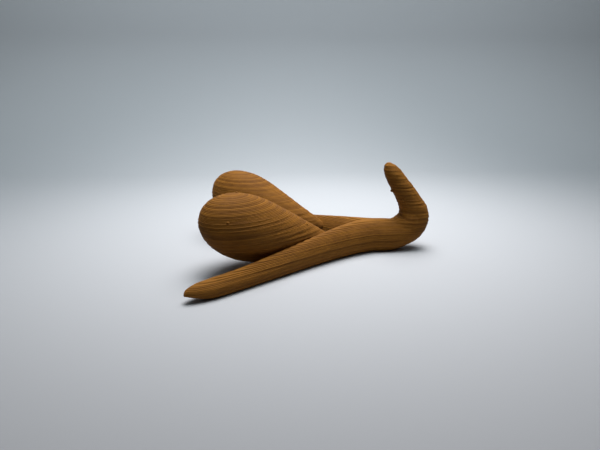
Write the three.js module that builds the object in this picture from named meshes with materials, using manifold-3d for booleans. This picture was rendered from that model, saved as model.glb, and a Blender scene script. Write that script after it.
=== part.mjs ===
// A small anatomical teaching model of the clitoris. An upright tapered glans stands on an elbow,
// the level body runs back from the elbow and parts into two splayed crura that rest on the table,
// and a pair of teardrop bulbs lies above and between the crura.
//
// Units are millimetres. +Z is up, +X points from the crura towards the elbow, and the model is the
// same on both sides of the plane Y = 0. The origin is under the middle of the model's box.
//
// Each region is a swept limb: level or rising ellipses carried along a curve, closed to a rounded
// nose. Neighbouring regions are parted by a thin flat or fitted seam.

import * as THREE from "three";
import { mergeVertices } from "three/addons/utils/BufferGeometryUtils.js";
import Module from "manifold-3d";

const wasm = await Module();
wasm.setup();

// ---- Driving dimensions, in mm ----

const seamGap = 0.3; // space between neighbouring regions
const footDepth = 0.15; // how deep the table plane cuts into the round undersides

// Body, elbow and glans share one curve in the plane Y = 0: a level stretch, a gentle heel, a short
// straight, a tight knee and the glans.
const branchX = -3.5; // where the body parts into the crura
const heelX = -1.4; // where the level stretch ends and the heel starts to rise
const heelRadius = 6;
const heelTurn = THREE.MathUtils.degToRad(23.5);
const heelToKnee = 1.45;
const kneeRadius = 2.9;
const kneeTurn = THREE.MathUtils.degToRad(97);
const glansLength = 10.9; // from the end of the knee to the tip
const glansBow = -0.6; // how far the tip leans off the knee's own direction, forward being positive
const glansNose = 3.1; // length of the rounded nose
const glansSeamZ = 8; // height of the level seam between body and glans
// Half width and half height of the section, steered from the branch to the nose.
const branchHalf = new THREE.Vector2(3.1, 3.3);
const waistHalf = new THREE.Vector2(2.6, 3.1);
const neckHalf = new THREE.Vector2(2.2, 1.85);
const glansHalf = new THREE.Vector2(1.45, 1.5);

// Each crus leaves the branch along the body, swings outwards and lies flat on the table.
const crusLead = 6; // how far the first handle reaches straight back from the branch
const crusBend = new THREE.Vector2(-26.3, 16); // second handle of its curve, seen from above
const crusTip = new THREE.Vector2(-38, 22.1); // tip, seen from above
const crusTipLift = 1.3; // height of the tip's centre over the table
const crusNose = 5; // length of the pointed nose
const crusNosePower = 1.4; // 2 is a round nose, less is more pointed
// Half width and half height of the section, steered from the branch to the nose.
const crusRootHalf = new THREE.Vector2(1.3, 3.25);
const crusMiddleHalf = new THREE.Vector2(1.35, 1.45);
const crusEndHalf = new THREE.Vector2(1.65, 1.6);

// Each bulb is a teardrop: its tail sits in the crotch, its round end stands behind and above.
const bulbTail = new THREE.Vector3(-13.2, 3.5, 3.9);
const bulbBend = new THREE.Vector3(-25.5, 5.8, 4.6);
const bulbEnd = new THREE.Vector3(-35.6, 12.9, 11.7);
const bulbHalfHeight = 5.85; // at its fullest
const bulbWidthShare = 0.95; // its width over its height
const bulbFullness = 1.67; // a larger power moves the fullest place towards the round end
const bulbRounding = 0.44; // the power that closes both ends

// Fineness of the surfaces.
const sidesAround = 28;
const stationsAlong = 34;
const weldDistance = 1e-4;

// ---- Solids ----

// A manifold solid from a three.js geometry. Triangles that closed up at a pole are left out.
function solidFrom(geometry) {
  const bare = geometry.index ? geometry.toNonIndexed() : geometry.clone();
  bare.deleteAttribute("normal");
  bare.deleteAttribute("uv");
  const merged = mergeVertices(bare, weldDistance);
  const corners = merged.index.array;
  const kept = [];
  for (let i = 0; i < corners.length; i += 3) {
    const [a, b, c] = corners.slice(i, i + 3);
    if (a !== b && b !== c && c !== a) kept.push(a, b, c);
  }
  const vertProperties = merged.attributes.position.array;
  const triVerts = new Uint32Array(kept);
  return new wasm.Manifold(new wasm.Mesh({ numProp: 3, vertProperties, triVerts }));
}

// A three.js geometry from a manifold solid.
function geometryFrom(solid) {
  const mesh = solid.getMesh();
  const geometry = new THREE.BufferGeometry();
  geometry.setAttribute("position", new THREE.BufferAttribute(mesh.vertProperties, 3));
  geometry.setIndex(new THREE.BufferAttribute(mesh.triVerts, 1));
  geometry.computeVertexNormals();
  return geometry;
}

// A block that fills everything between two opposite corners, used to cut flat faces.
function block(low, high) {
  const size = new THREE.Vector3().subVectors(high, low);
  const middle = new THREE.Vector3().addVectors(low, high).multiplyScalar(0.5);
  const geometry = new THREE.BoxGeometry(size.x, size.y, size.z);
  return solidFrom(geometry.translate(middle.x, middle.y, middle.z));
}

// A limb: a lathe-turned rod of unit radius whose length runs from 0 to 1, with every ring carried
// to its place. stationAt(t) gives the ring's centre, the direction of the limb, its upward
// direction and its half width and half height. taperAt(t) closes the ends to a point.
function limb(stationAt, taperAt) {
  const profile = [new THREE.Vector2(0, 0)];
  for (let i = 0; i < stationsAlong; i++) {
    const t = (1 - Math.cos((Math.PI * i) / stationsAlong)) / 2; // closer together at both ends
    if (taperAt(t) > 0) profile.push(new THREE.Vector2(taperAt(t), t));
  }
  profile.push(new THREE.Vector2(0, 1));
  const geometry = new THREE.LatheGeometry(profile, sidesAround);
  const position = geometry.getAttribute("position");
  for (let i = 0; i < position.count; i++) {
    const station = stationAt(position.getY(i));
    const across = new THREE.Vector3().crossVectors(station.along, station.up).normalize();
    const point = station.centre.clone();
    point.addScaledVector(across, position.getX(i) * station.halfWidth);
    point.addScaledVector(station.up, position.getZ(i) * station.halfHeight);
    position.setXYZ(i, point.x, point.y, point.z);
  }
  return solidFrom(geometry);
}

// 1 along the limb, falling to 0 over its last stretch. noseShare is that stretch over the whole.
function noseTaper(t, noseShare, power) {
  const into = Math.max(0, (t - 1 + noseShare) / noseShare);
  return Math.sqrt(Math.max(0, 1 - into ** power));
}

// ---- Body and glans ----

const axisZ = waistHalf.y - footDepth;
const shaftHalf = new THREE.CubicBezierCurve(branchHalf, waistHalf, neckHalf, glansHalf);

// The curve through body, elbow and glans. Its own x is the model's X and its own y is Z.
function shaftCurve() {
  const curve = new THREE.Path();
  const down = -Math.PI / 2;
  const heelWay = new THREE.Vector2(Math.cos(heelTurn), Math.sin(heelTurn));
  curve.moveTo(branchX + seamGap / 2, axisZ);
  curve.lineTo(heelX, axisZ);
  curve.absarc(heelX, axisZ + heelRadius, heelRadius, down, down + heelTurn);
  const knee = curve.currentPoint.clone().addScaledVector(heelWay, heelToKnee);
  curve.lineTo(knee.x, knee.y);
  const middle = knee.clone().addScaledVector(new THREE.Vector2(-heelWay.y, heelWay.x), kneeRadius);
  const wholeTurn = heelTurn + kneeTurn;
  curve.absarc(middle.x, middle.y, kneeRadius, down + heelTurn, down + wholeTurn);
  const kneeEnd = curve.currentPoint.clone();
  const onward = new THREE.Vector2(Math.cos(wholeTurn), Math.sin(wholeTurn));
  const forward = new THREE.Vector2(onward.y, -onward.x);
  const handle = kneeEnd.clone().addScaledVector(onward, glansLength / 2);
  const tip = kneeEnd.clone().addScaledVector(onward, glansLength).addScaledVector(forward, glansBow);
  curve.quadraticCurveTo(handle.x, handle.y, tip.x, tip.y);
  return curve;
}

// The whole shaft from the branch to the tip, flat where it rests on the table.
function shaft() {
  const curve = shaftCurve();
  const noseShare = glansNose / curve.getLength();
  const stationAt = (t) => {
    const place = curve.getPoint(t);
    const heading = curve.getTangent(t);
    const half = shaftHalf.getPoint(t);
    return {
      centre: new THREE.Vector3(place.x, 0, place.y),
      along: new THREE.Vector3(heading.x, 0, heading.y),
      up: new THREE.Vector3(-heading.y, 0, heading.x),
      halfWidth: half.x,
      halfHeight: half.y,
    };
  };
  return limb(stationAt, (t) => noseTaper(t, noseShare, 2));
}

// ---- Crura ----

// One crus on the given side, +1 or -1. grow makes it that much thicker all round, for the fitted
// seat that a bulb has on it.
function crus(side, grow) {
  const start = new THREE.Vector2(branchX - seamGap / 2, 0);
  const lead = new THREE.Vector2(branchX - crusLead, 0);
  const bend = new THREE.Vector2(crusBend.x, side * crusBend.y);
  const tip = new THREE.Vector2(crusTip.x, side * crusTip.y);
  const curve = new THREE.CubicBezierCurve(start, lead, bend, tip);
  const half = new THREE.CubicBezierCurve(branchHalf, crusRootHalf, crusMiddleHalf, crusEndHalf);
  // How deep the underside lies under the table plane: the body's own depth at the branch.
  const rootDepth = branchHalf.y - axisZ;
  const noseShare = crusNose / curve.getLength();
  const taperAt = (t) => noseTaper(t, noseShare, crusNosePower);
  const stationAt = (t) => {
    const place = curve.getPointAt(t);
    const heading = curve.getTangentAt(t);
    const section = half.getPoint(t);
    const intoNose = Math.max(0, (t - 1 + noseShare) / noseShare);
    const depth = footDepth + (rootDepth - footDepth) * (1 - t) ** 3;
    const rest = section.y * taperAt(t) - depth; // the underside lies on the table
    const lift = (crusTipLift + footDepth) * intoNose ** 1.5;
    return {
      centre: new THREE.Vector3(place.x, place.y, rest + lift),
      along: new THREE.Vector3(heading.x, heading.y, 0),
      up: new THREE.Vector3(0, 0, 1),
      halfWidth: section.x + grow,
      halfHeight: section.y + grow,
    };
  };
  return limb(stationAt, taperAt);
}

// ---- Bulbs ----

// One bulb on the given side, before its seat on the crus is cut.
function bulb(side) {
  const onSide = (point) => new THREE.Vector3(point.x, side * point.y, point.z);
  const curve = new THREE.QuadraticBezierCurve3(onSide(bulbTail), onSide(bulbBend), onSide(bulbEnd));
  const stationAt = (t) => {
    const along = curve.getTangentAt(t);
    const level = new THREE.Vector3(along.y, -along.x, 0).normalize();
    return {
      centre: curve.getPointAt(t),
      along,
      up: level.cross(along).normalize(),
      halfWidth: bulbHalfHeight * bulbWidthShare,
      halfHeight: bulbHalfHeight,
    };
  };
  return limb(stationAt, (t) => Math.sin(Math.PI * t ** bulbFullness) ** bulbRounding);
}

// ---- Assembly ----

const reach = 100; // further out than any part of the model
const underTable = block(new THREE.Vector3(-reach, -reach, -reach), new THREE.Vector3(reach, reach, 0));
const overSeam = (z) => block(new THREE.Vector3(-reach, -reach, z), new THREE.Vector3(reach, reach, reach));

// Everything on the far side of the middle plane from the given side, with half the seam.
function beyondMiddle(side) {
  const near = (side * seamGap) / 2;
  const ends = side > 0 ? [-reach, near] : [near, reach];
  return block(new THREE.Vector3(-reach, ends[0], -reach), new THREE.Vector3(reach, ends[1], reach));
}

const model = new THREE.Group();

// Adds one region to the model with a material of its own.
function place(name, solid, colour) {
  const material = new THREE.MeshStandardMaterial({ color: colour, roughness: 0.8, metalness: 0 });
  const mesh = new THREE.Mesh(geometryFrom(solid), material);
  mesh.name = name;
  model.add(mesh);
}

const wholeShaft = shaft().subtract(underTable);
place("body", wholeShaft.subtract(overSeam(glansSeamZ - seamGap / 2)), 0x8f5f32);
place("glans", wholeShaft.intersect(overSeam(glansSeamZ + seamGap / 2)), 0x94632f);

for (const [sideName, side] of [["left", 1], ["right", -1]]) {
  const middle = beyondMiddle(side);
  place(`${sideName}_crus`, crus(side, 0).subtract(underTable).subtract(middle), 0x9a6a38);
  place(`${sideName}_bulb`, bulb(side).subtract(crus(side, seamGap)).subtract(middle), 0xa5753f);
}

// The frame's origin goes under the middle of the model's box.
const box = new THREE.Box3().setFromObject(model);
const middleX = (box.min.x + box.max.x) / 2;
model.position.set(-middleX, 0, -box.min.z);

const part = new THREE.Group();
part.name = "anatomical_model";
part.add(model);

export default part;
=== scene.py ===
"""A small anatomical teaching model, built layer by layer as a filament printer lays it.

The model has an upright glans on an elbow, a level body, two splayed crura that rest on the table
and two teardrop bulbs. Every region is a stack of printed layers. A layer is the level slice
through the region at the layer's mid-height, and its rim is the rounded side of the laid bead.
Where the slope is shallow the layers end one after another, and the surface is a flight of low
steps.

Sizes in the classes are millimetres in the maker's own frame: +X runs from the crura towards the
elbow, +Y towards the left side, +Z up, and Z = 0 is the table. Bench.to_frame carries points from
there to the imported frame, in metres.
"""

import logging
import math
from collections.abc import Sequence
from dataclasses import dataclass, field
from enum import Enum

import bmesh
import bpy
import numpy as np
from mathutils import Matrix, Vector


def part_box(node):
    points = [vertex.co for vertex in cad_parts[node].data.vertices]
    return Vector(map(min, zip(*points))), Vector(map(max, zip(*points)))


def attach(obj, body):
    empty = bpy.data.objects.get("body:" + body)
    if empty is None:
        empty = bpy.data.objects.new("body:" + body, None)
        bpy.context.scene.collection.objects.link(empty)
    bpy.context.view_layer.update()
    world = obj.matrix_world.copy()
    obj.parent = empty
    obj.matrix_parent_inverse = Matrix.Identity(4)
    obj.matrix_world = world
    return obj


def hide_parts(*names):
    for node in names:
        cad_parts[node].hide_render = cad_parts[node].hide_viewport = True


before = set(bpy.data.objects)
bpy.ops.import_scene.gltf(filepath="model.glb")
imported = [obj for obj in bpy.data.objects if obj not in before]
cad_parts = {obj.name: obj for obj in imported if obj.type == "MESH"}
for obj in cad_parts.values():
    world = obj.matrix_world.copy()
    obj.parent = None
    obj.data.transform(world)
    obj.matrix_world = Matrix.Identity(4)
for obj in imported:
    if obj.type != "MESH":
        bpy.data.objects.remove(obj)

Array = np.ndarray
Pair = tuple[float, float]
Triple = tuple[float, float, float]
Value = float | bpy.types.NodeSocket  # a number or where one comes from
Paint = Triple | bpy.types.NodeSocket  # a colour or where one comes from

MM = 0.001  # metres in a millimetre
TINY = 1e-9  # keeps a division from meeting 0
HAIR = 0.01  # mm, how far a height may be off and still count as the same
NEEDLE = 1e-3  # the least share of its thickness that a tip keeps
ROUND_NOSE = 2.0  # the nose power that gives a half ellipse
CURVE_STEPS = 4001  # points for measuring a curve's length
STATIONS = 2401  # ellipses along a limb
SHORTEST_SLICE = 0.004  # share of a limb's length under which a slice is left out
MERGE_DISTANCE = 1e-7  # metres
GROOVE_SHADE_MASK = "groove"  # the point attribute that says how deep in a groove a point lies, for the painted shade

log = logging.getLogger("printed_model")


class Side(Enum):
    """The two sides of the model, as the sign of Y."""

    LEFT = 1
    RIGHT = -1

    @property
    def label(self) -> str:
        """The side's name as the CAD nodes write it."""
        return self.name.lower()


# ---- Curves and sections ----


def bezier(handles: Sequence[Sequence[float]], share: Array) -> Array:
    """Points on a Bezier curve.

    Neighbouring handles are mixed in the shares 1 - t and t, again and again, until one is left.

    Args:
        handles: the curve's handles, each a point of any dimension.
        share: the values of t, as a flat array.

    Returns:
        One point for each t, as rows.
    """
    t = share.reshape(-1, 1)
    level = [np.asarray(handle, float) + 0 * t for handle in handles]
    while len(level) > 1:
        level = [a * (1 - t) + b * t for a, b in zip(level, level[1:])]
    return level[0]


def even_bezier(handles: Sequence[Sequence[float]], share: Array) -> tuple[Array, Array, float]:
    """Points on a Bezier curve at shares of its length, with the curve's direction there.

    The curve is run through once in small steps, and the t at which each share of its whole length
    is reached is read back from the running length.

    Args:
        handles: the curve's handles.
        share: shares of the curve's length from 0 to 1.

    Returns:
        The points, the unit directions and the curve's length.
    """
    fine = np.linspace(0, 1, CURVE_STEPS)
    steps = np.linalg.norm(np.diff(bezier(handles, fine), axis=0), axis=1)
    run = np.concatenate([[0.0], np.cumsum(steps)])
    t = np.interp(share, run / run[-1], fine)
    slopes = [np.subtract(b, a) for a, b in zip(handles, handles[1:])]
    heading = bezier(slopes, t)
    heading /= np.linalg.norm(heading, axis=1, keepdims=True)
    return bezier(handles, t), heading, float(run[-1])


def nose_taper(share: Array, nose_share: float, power: float) -> Array:
    """How full a limb is along its length.

    It is 1 until the nose begins, and the square root of 1 - e to the given power over the nose,
    where e runs from 0 to 1.

    Args:
        share: shares of the limb's length.
        nose_share: the nose's length over the limb's.
        power: 2 gives a round nose, less a more pointed one.

    Returns:
        The fullness at each share.
    """
    into = np.clip((share - 1 + nose_share) / nose_share, 0, 1)
    return np.sqrt(np.maximum(0, 1 - into**power))


def crowded_ends(count: int) -> Array:
    """Shares from 0 to 1 that stand closer together at both ends, by half of 1 - cos(pi s)."""
    return (1 - np.cos(np.pi * np.linspace(0, 1, count))) / 2


@dataclass
class Stations:
    """The ellipses of a limb at shares of its length. Rows belong together."""

    share: Array
    centre: Array
    up: Array
    aside: Array  # level unit vector to the left of the limb's direction
    half_width: Array
    half_height: Array

    def at(self, share: Array) -> "Stations":
        """The ellipses at other shares, of any array shape, mixed from their neighbours."""
        flat = share.ravel()

        def mixed(values: Array) -> Array:
            """One field's values at the asked shares."""
            columns = values.reshape(len(self.share), -1)
            found = [np.interp(flat, self.share, column) for column in columns.T]
            return np.stack(found, -1).reshape(*share.shape, *values.shape[1:])

        fields = (self.centre, self.up, self.aside, self.half_width, self.half_height)
        return Stations(share, *(mixed(values) for values in fields))


@dataclass
class Slices:
    """Level slices through a region at the mid-heights of its layers.

    left and right are the two edges of each slice, seen from above, with matching points along the
    region: arrays of layers by points by 2.
    """

    layers: Array
    left: Array
    right: Array
    cut_start: bool  # the slice starts at a flat cut across X, and not at a rounded end


def crossings(share: Array, room: Array) -> tuple[Array, Array]:
    """Where each row of room first rises above 0 and where it last falls below 0.

    Args:
        share: the shares of length that the columns stand for.
        room: rows of values that are positive inside the slice.

    Returns:
        The first and last share inside, mixed linearly between the two columns about the change.
    """

    def first(columns: Array, values: Array) -> Array:
        """The share at which each row first rises above 0."""
        rows = np.arange(len(values))
        inner = np.argmax(values > 0, axis=1)
        outer = np.maximum(inner - 1, 0)
        low, high = values[rows, outer], values[rows, inner]
        part = np.where(inner > 0, -low / np.maximum(high - low, TINY), 0)
        return columns[outer] + part * (columns[inner] - columns[outer])

    return first(share, room), first(share[::-1], room[:, ::-1])


# ---- The print ----


@dataclass(frozen=True)
class PrintStyle:
    """How the printer lays a layer. Sizes in mm."""

    layer_height: float = 0.2
    groove: float = 0.062  # how far the rim falls back between two layers
    rows: int = 4  # steps up one rim
    follow: float = 0.66  # how far a rim leans with the slope, as the soft filament settles
    follow_limit: float = 0.8  # the most that neighbouring layers' edges count as apart, in mm
    unevenness: float = 0.032  # how far a whole layer stands in or out
    furthest_in: float = -0.05  # the limits of a layer's stand
    furthest_out: float = 0.035
    waver: float = 0.010  # how far the bead strays along its way
    long_wave: float = 7.3
    long_way: Pair = (0.8, 0.6)
    short_wave: float = 2.9
    short_way: Pair = (0.3, 0.95)
    layer_count: int = 90
    seed: int = 23

    def layer_numbers(self, low: float = 0.0, high: float = math.inf) -> Array:
        """The layers whose whole height lies between two heights."""
        number = np.arange(self.layer_count)
        above = number * self.layer_height > low - HAIR
        below = (number + 1) * self.layer_height < high + HAIR
        return number[above & below]

    def mid_heights(self, layers: Array) -> Array:
        """The mid-heights of layers."""
        return (layers + 0.5) * self.layer_height

    def draws(self) -> Array:
        """Random numbers for each layer, the same on every run: its stand and four wave phases."""
        source = np.random.default_rng(self.seed)
        stand = source.normal(0, self.unevenness, self.layer_count)
        stand = np.clip(stand + np.roll(stand, 1) / 2, self.furthest_in, self.furthest_out)
        phases = source.uniform(0, 2 * np.pi, (4, self.layer_count))
        return np.vstack([stand, phases])

    def stray(self, layers: Array, points: Array) -> Array:
        """How far out each point of a layer's rim stands from its true place.

        The whole layer stands in or out by its own draw, and two level ripples of different length
        and direction run through it. A ripple is the sine along its way times the cosine across it.
        The ripples depend only on the point and the layer, so that neighbouring regions stay flush.

        Args:
            layers: layer numbers.
            points: the rim's points, layers by points by 2.

        Returns:
            The distance outwards for each point.
        """
        stand, *phases = self.draws()[:, layers][:, :, None]
        x, y = points[..., 0], points[..., 1]

        def ripple(way: Pair, wave: float, sine_phase: Array, cosine_phase: Array) -> Array:
            """The sine along the way times the cosine across it."""
            along = 2 * np.pi * (way[0] * x + way[1] * y) / wave
            across = 2 * np.pi * (way[1] * x - way[0] * y) / wave
            return np.sin(along + sine_phase) * np.cos(across + cosine_phase)

        slow = ripple(self.long_way, self.long_wave, *phases[:2])
        quick = ripple(self.short_way, self.short_wave, *phases[2:])
        return stand + self.waver * (slow + quick)


@dataclass
class Shell:
    """Points in mm, groove depths that set painted shade, and faces of four corners."""

    points: Array
    groove: Array
    faces: Array

    @staticmethod
    def together(shells: Sequence["Shell"]) -> "Shell":
        """All shells as one, with the faces counted on."""
        starts = np.cumsum([0] + [len(shell.points) for shell in shells[:-1]])
        faces = [shell.faces + start for shell, start in zip(shells, starts)]
        points = np.vstack([shell.points for shell in shells])
        groove = np.concatenate([shell.groove for shell in shells])
        return Shell(points, groove, np.vstack(faces))


def ring_grid_faces(rings: int, around: int) -> Array:
    """The four-cornered faces between stacked rings that close on themselves."""
    ring, place = np.meshgrid(np.arange(rings - 1), np.arange(around), indexing="ij")
    onward = (place + 1) % around
    corners = [ring * around + place, ring * around + onward]
    corners += [(ring + 1) * around + onward, (ring + 1) * around + place]
    return np.stack(corners, -1).reshape(-1, 4)


def lay_layers(slices: Slices, style: PrintStyle, middle: Side | None = None) -> Shell:
    """The stack of printed layers over a region's slices.

    The rim of a layer is the side of a laid bead. At the angle a, from -90 to +90 degrees, it lies
    half a layer height times sin(a) over the mid-height, and the groove's depth times 1 - cos(a)
    inside the slice's edge. It also leans with the slope: sin(a) times half the way to the next
    slice's edge, times the style's share. The last ring of a layer and the first ring of the next
    are at one height, and the faces between them are the flat step. Both ends of the stack are
    closed by rungs from the left edge to the right. The groove mask, which sets the painted shade,
    is deepest at a layer's first ring, where a step meets the next rim.

    Args:
        slices: the region's slices.
        style: how the layers are laid.
        middle: the side that the region keeps to, or None. Points past Y = 0 are drawn back to it.

    Returns:
        The closed shell.
    """

    def outwards(edge: Array, turn: int) -> Array:
        """Unit vectors square to an edge, on its left where turn is 1 and on its right at -1."""
        run = np.gradient(edge, axis=1)
        normal = turn * np.stack([-run[..., 1], run[..., 0]], -1)
        if slices.cut_start:
            normal[:, 0, 0] = 0
        return normal / np.maximum(np.linalg.norm(normal, axis=-1, keepdims=True), TINY)

    normal_left, normal_right = outwards(slices.left, 1), outwards(slices.right, -1)
    for end in [-1] if slices.cut_start else [0, -1]:
        shared = normal_left[:, end] + normal_right[:, end]
        shared /= np.maximum(np.linalg.norm(shared, axis=-1, keepdims=True), TINY)
        normal_left[:, end] = normal_right[:, end] = shared
    edge = np.concatenate([slices.left, slices.right[:, ::-1]], axis=1)
    normal = np.concatenate([normal_left, normal_right[:, ::-1]], axis=1)
    edge = edge + normal * style.stray(slices.layers, edge)[..., None]

    angle = np.linspace(-np.pi / 2, np.pi / 2, style.rows + 1)
    fall = style.groove * (1 - np.cos(angle))
    level = edge[:, None] - normal[:, None] * fall[None, :, None, None]
    onward = np.gradient(edge, axis=0)
    reach = np.maximum(np.linalg.norm(onward, axis=-1, keepdims=True), TINY)
    onward *= np.minimum(1, style.follow_limit / reach) * style.follow / 2
    level += onward[:, None] * np.sin(angle)[None, :, None, None]
    if middle is not None:
        level[..., 1] = middle.value * np.maximum(middle.value * level[..., 1], 0)
    height = style.mid_heights(slices.layers)[:, None] + style.layer_height / 2 * np.sin(angle)
    around = edge.shape[1]
    raised = np.broadcast_to(height[:, :, None, None], (*height.shape, around, 1))
    points = np.concatenate([level, raised], -1).reshape(-1, 3)

    rings = height.size
    faces = ring_grid_faces(rings, around)
    place = np.arange(slices.left.shape[1] - 1)
    rungs = np.stack([place, around - 1 - place, around - 2 - place, place + 1], -1)
    top = rungs[:, ::-1] + (rings - 1) * around
    # The mask for the painted groove shade: 1 at a layer's first ring, 0 from the rim's middle up.
    depth = np.clip(-np.sin(angle), 0, 1)
    groove = np.broadcast_to(depth[None, :, None], (len(edge), depth.size, around)).ravel()
    return Shell(points, groove, np.vstack([faces, rungs, top]))


def level_slices(
    stations: Stations, layers: Array, style: PrintStyle, columns: int, cut_start: bool
) -> Slices:
    """Level slices through a limb of ellipses.

    At height z the sine of an ellipse's angle is z less the centre's height, over the half height
    times the upward direction's Z. The slice's two edges lie that sine times the half height along
    the upward direction from the centre, and the cosine times the half width to either side. The
    slice runs along the limb for as long as the sine is between -1 and 1.

    Args:
        stations: the limb's ellipses.
        layers: the layer numbers to try.
        style: how the layers are laid.
        columns: points along each edge.
        cut_start: whether the limb starts at a flat cut.

    Returns:
        The slices of the layers that meet the limb.
    """
    rise = np.maximum(stations.half_height * stations.up[:, 2], TINY)
    sine = (style.mid_heights(layers)[:, None] - stations.centre[None, :, 2]) / rise
    room = np.maximum(1 - np.abs(sine), -1)
    first, last = crossings(stations.share, room)
    meets = (room > 0).any(axis=1) & (last - first > SHORTEST_SLICE)
    layers, first, last = layers[meets], first[meets, None], last[meets, None]
    share = first + (last - first) * crowded_ends(columns)[None]
    here = stations.at(share)
    height = style.mid_heights(layers)[:, None]
    sine = (height - here.centre[..., 2]) / np.maximum(here.half_height * here.up[..., 2], TINY)
    sine = np.clip(sine, -1, 1)
    cosine = np.sqrt(1 - sine**2)
    cosine[:, -1] = 0
    if not cut_start:
        cosine[:, 0] = 0
    line = here.centre[..., :2] + (here.half_height * sine)[..., None] * here.up[..., :2]
    across = (here.half_width * cosine)[..., None] * here.aside
    return Slices(layers, line + across, line - across, cut_start)


@dataclass(frozen=True)
class StrandEnd:
    """A small blob of filament, half sunk in the surface. Sizes in mm."""

    centre: Triple
    half_size: Triple
    around: int = 14
    rows: int = 9

    def shell(self) -> Shell:
        """The blob as an ellipsoid.

        At longitude u and latitude v it is the centre plus the half sizes times (cos v cos u,
        cos v sin u, sin v).

        Returns:
            The closed shell.
        """
        longitude = np.linspace(0, 2 * np.pi, self.around, endpoint=False)[None, :]
        latitude = np.linspace(-np.pi / 2, np.pi / 2, self.rows)[:, None]
        ball = [np.cos(latitude) * np.cos(longitude), np.cos(latitude) * np.sin(longitude)]
        ball.append(np.sin(latitude) + 0 * longitude)
        points = np.stack(ball, -1).reshape(-1, 3) * self.half_size + self.centre
        return Shell(points, np.zeros(len(points)), ring_grid_faces(self.rows, self.around))


# ---- Finish ----

# Where a Mix node keeps its colour sockets.
MIX_FIRST, MIX_SECOND, MIX_RESULT = 6, 7, 2


@dataclass(frozen=True)
class WoodFill:
    """Wood-filled filament: tan with darker layers, fine fibre specks and painted groove shade."""

    slot: str
    light: Triple = (0.300, 0.121, 0.013)
    dark: Triple = (0.146, 0.054, 0.006)
    # painted shade: the dark colour mixed in where the groove mask is deep
    groove: Triple = (0.040, 0.014, 0.003)
    groove_shade_share: float = 0.32  # how strongly the painted groove shade darkens
    layer_height: float = 0.2 * MM
    layer_nudge: float = 0.0005  # in layers, keeps a layer's first ring in its own tone
    layer_share: float = 0.6  # how much the layers, clouds and fibres each move the tone
    cloud_share: float = 0.7
    cloud_scale: float = 260.0
    cloud_detail: float = 2.0
    cloud_stretch: Triple = (1.0, 1.0, 1.6)
    fibre_share: float = 0.55
    fibre_scale: float = 2600.0
    fibre_detail: float = 3.0
    fibre_stretch: Triple = (0.35, 0.35, 1.0)
    tone_drop: float = 0.50  # taken off the tone's sum
    bump_strength: float = 0.6
    bump_height: float = 0.03 * MM
    roughness: float = 0.74
    specular: float = 0.16

    def material(self) -> bpy.types.Material:
        """Builds the material.

        Height over the table, counted in layers, picks a tone for each layer at random. A soft
        cloud and fine fibres that lie along the layers move the tone. Painted shade darkens it by
        the depth in a groove. The fibres also raise the surface a little.

        Returns:
            The material.
        """
        made = bpy.data.materials.new(f"{self.slot}_finish")
        made.use_nodes = True
        tree = made.node_tree
        shader = tree.nodes["Principled BSDF"]
        shader.inputs["Roughness"].default_value = self.roughness
        shader.inputs["Specular IOR Level"].default_value = self.specular

        def math_node(kind: str, *values: Value, clamp: bool = False) -> bpy.types.NodeSocket:
            """A sum, product or other step on one or two values, each a number or a socket."""
            node = tree.nodes.new("ShaderNodeMath")
            node.operation = kind
            node.use_clamp = clamp
            for socket, value in zip(node.inputs, values):
                if isinstance(value, float):
                    socket.default_value = value
                else:
                    tree.links.new(value, socket)
            return node.outputs[0]

        def noise(scale: float, detail: float, stretch: Triple) -> bpy.types.NodeSocket:
            """A cloudy pattern in the object's own place, stretched along the axes."""
            mapping = tree.nodes.new("ShaderNodeMapping")
            mapping.inputs["Scale"].default_value = stretch
            tree.links.new(place, mapping.inputs["Vector"])
            node = tree.nodes.new("ShaderNodeTexNoise")
            node.inputs["Scale"].default_value = scale
            node.inputs["Detail"].default_value = detail
            tree.links.new(mapping.outputs["Vector"], node.inputs["Vector"])
            return node.outputs["Fac"]

        def mix(share: bpy.types.NodeSocket, a: Paint, b: Paint) -> bpy.types.NodeSocket:
            """A mix of two colours, each a triple or a socket."""
            node = tree.nodes.new("ShaderNodeMix")
            node.data_type = "RGBA"
            tree.links.new(share, node.inputs["Factor"])
            for socket, value in ((node.inputs[MIX_FIRST], a), (node.inputs[MIX_SECOND], b)):
                if isinstance(value, tuple):
                    socket.default_value = (*value, 1.0)
                else:
                    tree.links.new(value, socket)
            return node.outputs[MIX_RESULT]

        place = tree.nodes.new("ShaderNodeTexCoord").outputs["Object"]
        split = tree.nodes.new("ShaderNodeSeparateXYZ")
        tree.links.new(place, split.inputs["Vector"])
        counted = math_node("DIVIDE", split.outputs["Z"], self.layer_height)
        number = math_node("FLOOR", math_node("ADD", counted, self.layer_nudge))
        lot = tree.nodes.new("ShaderNodeTexWhiteNoise")
        lot.noise_dimensions = "1D"
        tree.links.new(number, lot.inputs["W"])

        cloud = noise(self.cloud_scale, self.cloud_detail, self.cloud_stretch)
        fibre = noise(self.fibre_scale, self.fibre_detail, self.fibre_stretch)
        tone = math_node("MULTIPLY", lot.outputs["Value"], self.layer_share)
        tone = math_node("ADD", tone, math_node("MULTIPLY", cloud, self.cloud_share))
        tone = math_node("ADD", tone, math_node("MULTIPLY", fibre, self.fibre_share))
        tone = math_node("SUBTRACT", tone, self.tone_drop, clamp=True)
        plain = mix(tone, self.dark, self.light)

        # Painted shade: the groove mask draws the colour towards the groove colour.
        sunk = tree.nodes.new("ShaderNodeAttribute")
        sunk.attribute_name = GROOVE_SHADE_MASK
        depth = math_node("MULTIPLY", sunk.outputs["Fac"], self.groove_shade_share, clamp=True)
        tree.links.new(mix(depth, plain, self.groove), shader.inputs["Base Color"])

        bump = tree.nodes.new("ShaderNodeBump")
        bump.inputs["Strength"].default_value = self.bump_strength
        bump.inputs["Distance"].default_value = self.bump_height
        tree.links.new(fibre, bump.inputs["Height"])
        tree.links.new(bump.outputs["Normal"], shader.inputs["Normal"])
        return made


# ---- Pieces ----

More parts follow.
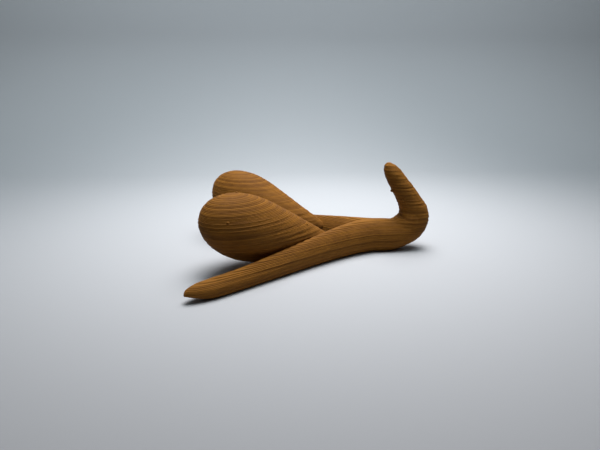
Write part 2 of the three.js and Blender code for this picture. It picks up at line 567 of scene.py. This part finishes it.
# Strand ends left standing on the bulbs.
BULB_STRANDS = {
    Side.RIGHT: (
        StrandEnd((-30.3, -9.0, 14.22), (0.26, 0.22, 0.16)),
        StrandEnd((-31.48, -14.9, 10.61), (0.26, 0.2, 0.22)),
        StrandEnd((-18.0, -6.2, 7.4), (0.24, 0.18, 0.15)),
    )
}


@dataclass(frozen=True)
class Bench:
    """Carries shells from the maker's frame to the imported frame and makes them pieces."""

    shift_x: float  # mm from the maker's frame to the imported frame
    sharp_angle: float = math.radians(38)

    def to_frame(self, points: Array) -> Array:
        """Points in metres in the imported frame."""
        return (points + np.array([self.shift_x, 0.0, 0.0])) * MM

    def piece(self, node: str, shell: Shell, finish: WoodFill) -> bpy.types.Object:
        """Makes a shell the visible piece for a CAD node.

        Args:
            node: the CAD node that the piece stands for.
            shell: the closed shell, in mm in the maker's frame.
            finish: its finish.

        Returns:
            The piece.
        """
        mesh = bpy.data.meshes.new(f"{node}_print")
        mesh.from_pydata(self.to_frame(shell.points), [], shell.faces.tolist())
        # the groove mask that sets the painted shade in the finish
        depth = mesh.attributes.new(GROOVE_SHADE_MASK, "FLOAT", "POINT")
        depth.data.foreach_set("value", shell.groove.astype(np.float32))
        work = bmesh.new()
        work.from_mesh(mesh)
        bmesh.ops.remove_doubles(work, verts=work.verts, dist=MERGE_DISTANCE)
        bmesh.ops.dissolve_degenerate(work, edges=work.edges, dist=MERGE_DISTANCE)
        bmesh.ops.recalc_face_normals(work, faces=work.faces)
        work.to_mesh(mesh)
        work.free()
        mesh.shade_smooth()
        mesh.set_sharp_from_angle(angle=self.sharp_angle)
        mesh.materials.append(finish.material())
        made = bpy.data.objects.new(f"{node}_layers", mesh)
        bpy.context.scene.collection.objects.link(made)
        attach(made, "root")
        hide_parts(node)
        log.info("%s: %d faces", made.name, len(mesh.polygons))
        return made


@dataclass(frozen=True)
class Branch:
    """Where the body parts into the crura."""

    x: float = -3.5
    seam_gap: float = 0.3
    ease: float = 0.144  # how much narrower the sections are drawn here, to run on smoothly
    ease_reach: float = 1.5

    def narrowing(self, run: Array) -> Array:
        """What a section gives up at a distance from the branch: ease times exp(-run / reach)."""
        return self.ease * np.exp(-run / self.ease_reach)


@dataclass
class Shaft:
    """Body, elbow and glans: ellipses along one curve in the plane Y = 0.

    The curve is a level stretch, a gentle heel, a short straight, a tight knee and the glans, whose
    line is a Bezier curve of three handles.
    """

    branch: Branch = Branch()
    heel_x: float = -1.4
    heel_radius: float = 6.0
    heel_turn: float = math.radians(23.5)
    heel_to_knee: float = 1.45
    knee_radius: float = 2.9
    knee_turn: float = math.radians(97)
    glans_length: float = 10.9
    glans_bow: float = -0.6
    glans_nose: float = 3.1
    glans_seam_z: float = 8.0
    knee_fill: float = 2.2  # how softly body and glans run together inside the knee
    knee_share: float = 0.384  # where along the curve the knee's middle lies
    axis_z: float = 2.95
    # Half width and half height, steered from the branch to the tip.
    section: tuple[Pair, ...] = ((3.1, 3.3), (2.6, 3.1), (2.2, 1.85), (1.45, 1.5))
    glans_strands: tuple[StrandEnd, ...] = (
        StrandEnd((0.89, -1.66, 10.23), (0.26, 0.2, 0.26)),
        StrandEnd((-1.0, -0.35, 12.0), (0.34, 0.3, 0.3)),
    )
    columns: int = 84
    stretch_steps: int = 400
    path_steps: int = 520
    run_steps: int = 420
    run_over: float = 3.0  # how far past the curve the slices are looked for
    body_finish: WoodFill = field(default_factory=lambda: WoodFill("body_print"))
    glans_finish: WoodFill = field(default_factory=lambda: WoodFill("glans_print"))

    def __post_init__(self) -> None:
        """Works out the curve once."""
        self.path, self.heading, self.length = self.curve()

    def curve(self) -> tuple[Array, Array, float]:
        """The curve through body, elbow and glans.

        A straight runs on along the heading. An arc turns about a middle that lies its radius to
        the left of the heading.

        Returns:
            Points (x, z) at even steps of length, unit headings there and the whole length.
        """
        fine = np.linspace(0, 1, self.stretch_steps)[:, None]
        at = np.array([self.branch.x + self.branch.seam_gap / 2, self.axis_z])
        stretches = [at + fine * (np.array([self.heel_x, self.axis_z]) - at)]
        turned = 0.0
        for radius, turn, onward in (
            (self.heel_radius, self.heel_turn, self.heel_to_knee),
            (self.knee_radius, self.knee_turn, 0.0),
        ):
            at = stretches[-1][-1]
            middle = at + radius * np.array([-math.sin(turned), math.cos(turned)])
            angle = turned - math.pi / 2 + fine * turn
            stretches.append(middle + radius * np.hstack([np.cos(angle), np.sin(angle)]))
            turned += turn
            way = np.array([math.cos(turned), math.sin(turned)])
            stretches.append(stretches[-1][-1] + fine * onward * way)
        at = stretches[-1][-1]
        forward = np.array([way[1], -way[0]])
        tip = at + self.glans_length * way + self.glans_bow * forward
        handles = (at, at + self.glans_length / 2 * way, tip)
        stretches.append(bezier(handles, fine.ravel()))
        points = np.vstack(stretches)
        run = np.concatenate([[0.0], np.cumsum(np.linalg.norm(np.diff(points, axis=0), axis=1))])
        even = np.linspace(0, run[-1], self.path_steps)
        path = np.stack([np.interp(even, run, points[:, axis]) for axis in (0, 1)], -1)
        heading = np.gradient(path, axis=0)
        heading /= np.linalg.norm(heading, axis=1, keepdims=True)
        return path, heading, float(run[-1])

    def half_width(self, x: Array, z: Array) -> Array:
        """Half the shaft's width at places in the plane Y = 0.

        The curve is taken in two stretches that meet in the knee's middle. In each, the nearest
        point gives the share t of the length and the distance d off the curve, and the room is
        1 - (d / half height) squared. The two rooms a and b are joined by a soft maximum:
        lean * a + (1 - lean) * b + fill * lean * (1 - lean), where lean is
        1/2 + (a - b) / (2 * fill), held between 0 and 1. The fill is there only inside the knee,
        where it rounds the corner. The half width is the section's own, less the branch's
        narrowing, times the square root of the room. Outside the section the room is below 0, and
        the half width is minus the same with the room's size.

        Args:
            x: places along X.
            z: heights, of the same shape.

        Returns:
            The half widths, negative outside.
        """
        spot = np.stack([x.ravel(), z.ravel()], -1)
        knee, end = round(self.knee_share * self.path_steps), self.path_steps - 1
        rooms, widths, inward = [], [], []
        for start, stop in ((0, knee), (knee, end)):
            gap = ((spot[:, None, :] - self.path[None, start : stop + 1]) ** 2).sum(-1)
            nearest = start + gap.argmin(axis=1)
            off = spot - self.path[nearest]
            heading = self.heading[nearest]
            along = (off * heading).sum(-1)
            aside = off[:, 1] * heading[:, 0] - off[:, 0] * heading[:, 1]
            past = nearest == knee
            share = nearest / end + np.where(past, 0, along / self.length)
            held = np.clip(share, 0, 1)
            taper = nose_taper(held, self.glans_nose / self.length, ROUND_NOSE)
            half = bezier(self.section, held) * np.maximum(taper, NEEDLE)[:, None]
            room = 1 - (aside**2 + np.where(past, along, 0) ** 2) / half[:, 1] ** 2
            rooms.append(np.where(share > 1, -1, room))
            widths.append(half[:, 0] - self.branch.narrowing(held * self.length))
            inward.append(aside / half[:, 1])
        fill = self.knee_fill * np.clip(np.minimum(*inward), TINY, 1)
        lean = np.clip(0.5 + (rooms[0] - rooms[1]) / (2 * fill), 0, 1)
        room = lean * rooms[0] + (1 - lean) * rooms[1] + fill * lean * (1 - lean)
        width = lean * widths[0] + (1 - lean) * widths[1]
        return (np.sign(room) * width * np.sqrt(np.abs(room))).reshape(x.shape)

    def slices(self, layers: Array, style: PrintStyle) -> list[Slices]:
        """Level slices through the shaft.

        Args:
            layers: the layer numbers to try.
            style: how the layers are laid.

        Returns:
            The slices that start at the flat cut at the branch, and those that start rounded.
        """
        run = np.linspace(self.branch.x, self.path[:, 0].max() + self.run_over, self.run_steps)
        room = self.half_width(*np.meshgrid(run, style.mid_heights(layers)))
        meets = (room > 0).any(axis=1)
        layers, room = layers[meets], room[meets]
        first, last = crossings(run, np.sign(room) * room**2)
        spot_x = first[:, None] + (last - first)[:, None] * crowded_ends(self.columns)[None]
        height = style.mid_heights(layers)[:, None] + 0 * spot_x
        half = np.maximum(self.half_width(spot_x, height), 0)
        half[:, -1] = 0
        cut = first < self.branch.x + self.branch.seam_gap / 2
        half[~cut, 0] = 0
        left, right = np.stack([spot_x, half], -1), np.stack([spot_x, -half], -1)
        return [
            Slices(layers[kept], left[kept], right[kept], cut_start=flat)
            for kept, flat in ((cut, True), (~cut, False))
            if kept.any()
        ]

    def build(self, bench: Bench, style: PrintStyle) -> None:
        """Lays the body and the glans."""
        low = style.layer_numbers(high=self.glans_seam_z)
        shells = [lay_layers(stack, style) for stack in self.slices(low, style)]
        bench.piece("body", Shell.together(shells), self.body_finish)
        high = style.layer_numbers(low=self.glans_seam_z)
        shells = [lay_layers(stack, style) for stack in self.slices(high, style)]
        shells += [strand.shell() for strand in self.glans_strands]
        bench.piece("glans", Shell.together(shells), self.glans_finish)


@dataclass
class Crus:
    """One leg: upright ellipses along a curve on the table, closed to a pointed nose."""

    side: Side
    branch: Branch = Branch()
    lead: float = 6.0
    bend: Pair = (-26.3, 16.0)
    tip: Pair = (-38.0, 22.1)
    tip_lift: float = 1.3
    nose: float = 5.0
    nose_power: float = 1.4
    lift_power: float = 1.5
    foot_depth: float = 0.15  # how deep the underside reaches below the table
    root_depth: float = 0.35
    root_power: int = 3
    # Half width and half height, steered from the branch to the tip.
    section: tuple[Pair, ...] = ((3.1, 3.3), (1.3, 3.25), (1.35, 1.45), (1.65, 1.6))
    columns: int = 240
    finish: WoodFill = field(default_factory=lambda: WoodFill("crus_print"))

    def stations(self) -> Stations:
        """The leg's ellipses.

        The curve is a Bezier curve of four handles seen from above. The underside lies under the
        table by a depth that eases from the root's to the foot's with 1 - t to the root power, and
        the nose lifts with its own share to the lift power.

        Returns:
            The ellipses.
        """
        sign = self.side.value
        handles = (
            (self.branch.x - self.branch.seam_gap / 2, 0.0),
            (self.branch.x - self.lead, 0.0),
            (self.bend[0], sign * self.bend[1]),
            (self.tip[0], sign * self.tip[1]),
        )
        share = crowded_ends(STATIONS)
        line, heading, length = even_bezier(handles, share)
        half = bezier(self.section, share)
        half[:, 0] -= self.branch.narrowing(share * length)
        nose_share = self.nose / length
        taper = nose_taper(share, nose_share, self.nose_power)
        extra = (self.root_depth - self.foot_depth) * (1 - share) ** self.root_power
        into = np.clip((share - 1 + nose_share) / nose_share, 0, 1)
        lift = (self.tip_lift + self.foot_depth) * into**self.lift_power
        height = half[:, 1] * taper - (self.foot_depth + extra) + lift
        up = np.zeros((share.size, 3)) + (0.0, 0.0, 1.0)
        aside = np.stack([-heading[:, 1], heading[:, 0]], -1)
        centre = np.column_stack([line, height])
        return Stations(share, centre, up, aside, half[:, 0] * taper, half[:, 1] * taper)

    def build(self, bench: Bench, style: PrintStyle) -> None:
        """Lays the leg, from the branch itself, and keeps it on its own side."""
        layers = style.layer_numbers()
        found = level_slices(self.stations(), layers, style, self.columns, cut_start=True)
        found.left[:, 0, 0] = found.right[:, 0, 0] = self.branch.x
        shell = lay_layers(found, style, middle=self.side)
        bench.piece(f"{self.side.label}_crus", shell, self.finish)


@dataclass
class Bulb:
    """One teardrop: ellipses across a rising curve, closed at both ends."""

    side: Side
    tail: Triple = (-13.2, 3.5, 3.9)
    bend: Triple = (-25.5, 5.8, 4.6)
    end: Triple = (-35.6, 12.9, 11.7)
    half_height: float = 5.85
    width_share: float = 0.95
    fullness: float = 1.67
    rounding: float = 0.44
    columns: int = 112
    strands: tuple[StrandEnd, ...] = ()
    finish: WoodFill = field(default_factory=lambda: WoodFill("bulb_print"))

    def stations(self) -> Stations:
        """The bulb's ellipses.

        The curve is a Bezier curve of three handles, run from the tail to the round end. The size
        is sin(pi t ^ fullness) to the power of the rounding, times the largest half sizes. Each
        ellipse stands across the curve.

        Returns:
            The ellipses.
        """
        mirror = np.array([1.0, self.side.value, 1.0])
        handles = [np.array(handle) * mirror for handle in (self.tail, self.bend, self.end)]
        share = crowded_ends(STATIONS)
        centre, heading, _ = even_bezier(handles, share)
        aside = np.stack([-heading[:, 1], heading[:, 0]], -1)
        aside /= np.linalg.norm(aside, axis=1, keepdims=True)
        up = np.cross(heading, np.column_stack([aside, np.zeros(share.size)]))
        full = np.sin(np.pi * share**self.fullness)
        size = self.half_height * np.maximum(full, 0) ** self.rounding
        return Stations(share, centre, up, aside, size * self.width_share, size)

    def build(self, bench: Bench, style: PrintStyle) -> None:
        """Lays the bulb and sets its strand ends."""
        layers = style.layer_numbers()
        found = level_slices(self.stations(), layers, style, self.columns, cut_start=False)
        shells = [lay_layers(found, style, middle=self.side)]
        shells += [strand.shell() for strand in self.strands]
        bench.piece(f"{self.side.label}_bulb", Shell.together(shells), self.finish)


# ---- Studio ----


@dataclass(frozen=True)
class Lamp:
    """A square soft light that looks from its place at a target. Places and size in metres."""

    name: str
    place: Triple
    target: Triple
    size: float
    power: float
    spread: float  # degrees
    colour: Triple = (1.0, 1.0, 1.0)

    def hang(self) -> None:
        """Makes the light."""
        data = bpy.data.lights.new(self.name, "AREA")
        data.size = self.size
        data.energy = self.power
        data.spread = math.radians(self.spread)
        data.color = self.colour
        made = bpy.data.objects.new(self.name, data)
        made.location = self.place
        way = Vector(self.target) - Vector(self.place)
        made.rotation_euler = way.to_track_quat("-Z", "Y").to_euler()
        bpy.context.scene.collection.objects.link(made)


@dataclass(frozen=True)
class Studio:
    """Pale floor that runs up into a backdrop, soft light from above and the camera, in metres."""

    floor_colour: Triple = (0.435, 0.438, 0.458)
    floor_roughness: float = 0.9
    floor_specular: float = 0.1
    floor_front: float = -0.5
    floor_back: float = 0.075
    curve_radius: float = 0.05
    curve_steps: int = 40
    wall_top: float = 0.5
    half_length: float = 0.6
    air_colour: Triple = (0.86, 0.92, 1.0)
    air_strength: float = 0.03
    camera_place: Triple = (-9.29 * MM, -87.67 * MM, 33.0 * MM)
    camera_pitch: float = math.radians(72.5)
    camera_yaw: float = math.radians(-4.0)
    lens: float = 28.2
    sensor_width: float = 36.0
    nearest_seen: float = 2 * MM
    overhead: Lamp = Lamp(
        name="overhead_light",
        place=(0.01, 0.02, 0.13),
        target=(0.0, 0.01, 0.0),
        size=0.10,
        power=0.073,
        spread=80.0,
    )
    backdrop: Lamp = Lamp(
        name="backdrop_light",
        place=(0.0, 0.05, 0.26),
        target=(0.0, 0.16, 0.10),
        size=0.30,
        power=0.40,
        spread=100.0,
        colour=(0.86, 0.97, 1.0),
    )

    def sweep(self) -> None:
        """The floor and backdrop.

        The profile in Y and Z is a level line, a quarter circle and an upright line, and it is
        carried along X.
        """
        quarter = np.linspace(-math.pi / 2, 0, self.curve_steps)
        arc_y = self.floor_back + self.curve_radius * np.cos(quarter)
        arc_z = self.curve_radius * (1 + np.sin(quarter))
        run_y = np.concatenate([[self.floor_front], arc_y, [arc_y[-1]]])
        run_z = np.concatenate([[0.0], arc_z, [self.wall_top]])
        points = [
            np.column_stack([0 * run_y + x, run_y, run_z])
            for x in (-self.half_length, self.half_length)
        ]
        place = np.arange(len(run_y) - 1)
        onward = place + len(run_y)
        faces = np.stack([place, onward, onward + 1, place + 1], -1)
        mesh = bpy.data.meshes.new("studio_floor")
        mesh.from_pydata(np.vstack(points), [], faces.tolist())
        mesh.shade_smooth()
        made = bpy.data.objects.new("studio_floor", mesh)
        finish = bpy.data.materials.new("studio_paper")
        finish.use_nodes = True
        shader = finish.node_tree.nodes["Principled BSDF"]
        shader.inputs["Base Color"].default_value = (*self.floor_colour, 1.0)
        shader.inputs["Roughness"].default_value = self.floor_roughness
        shader.inputs["Specular IOR Level"].default_value = self.floor_specular
        mesh.materials.append(finish)
        bpy.context.scene.collection.objects.link(made)

    def build(self) -> None:
        """Sets the floor, the lights, the surroundings and the camera."""
        self.sweep()
        self.overhead.hang()
        self.backdrop.hang()
        world = bpy.data.worlds.new("studio_air")
        world.use_nodes = True
        sky = world.node_tree.nodes["Background"]
        sky.inputs["Color"].default_value = (*self.air_colour, 1.0)
        sky.inputs["Strength"].default_value = self.air_strength
        bpy.context.scene.world = world
        data = bpy.data.cameras.new("studio_camera")
        data.lens = self.lens
        data.sensor_width = self.sensor_width
        data.clip_start = self.nearest_seen
        camera = bpy.data.objects.new("studio_camera", data)
        camera.location = self.camera_place
        camera.rotation_euler = (self.camera_pitch, 0.0, self.camera_yaw)
        bpy.context.scene.collection.objects.link(camera)
        bpy.context.scene.camera = camera
        bpy.context.scene.view_settings.view_transform = "Standard"


def main() -> None:
    """Builds the model, then the studio."""
    logging.basicConfig(level=logging.INFO, format="%(name)s: %(message)s")
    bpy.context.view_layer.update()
    style, shaft, branch = PrintStyle(), Shaft(), Branch()
    body_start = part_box("body")[0].x / MM
    bench = Bench(shift_x=body_start - (branch.x + branch.seam_gap / 2))
    log.info("frame shift %.3f mm", bench.shift_x)
    shaft.build(bench, style)
    for side in Side:
        Crus(side).build(bench, style)
        Bulb(side, strands=BULB_STRANDS.get(side, ())).build(bench, style)
    Studio().build()


if __name__ == "__main__":
    main()
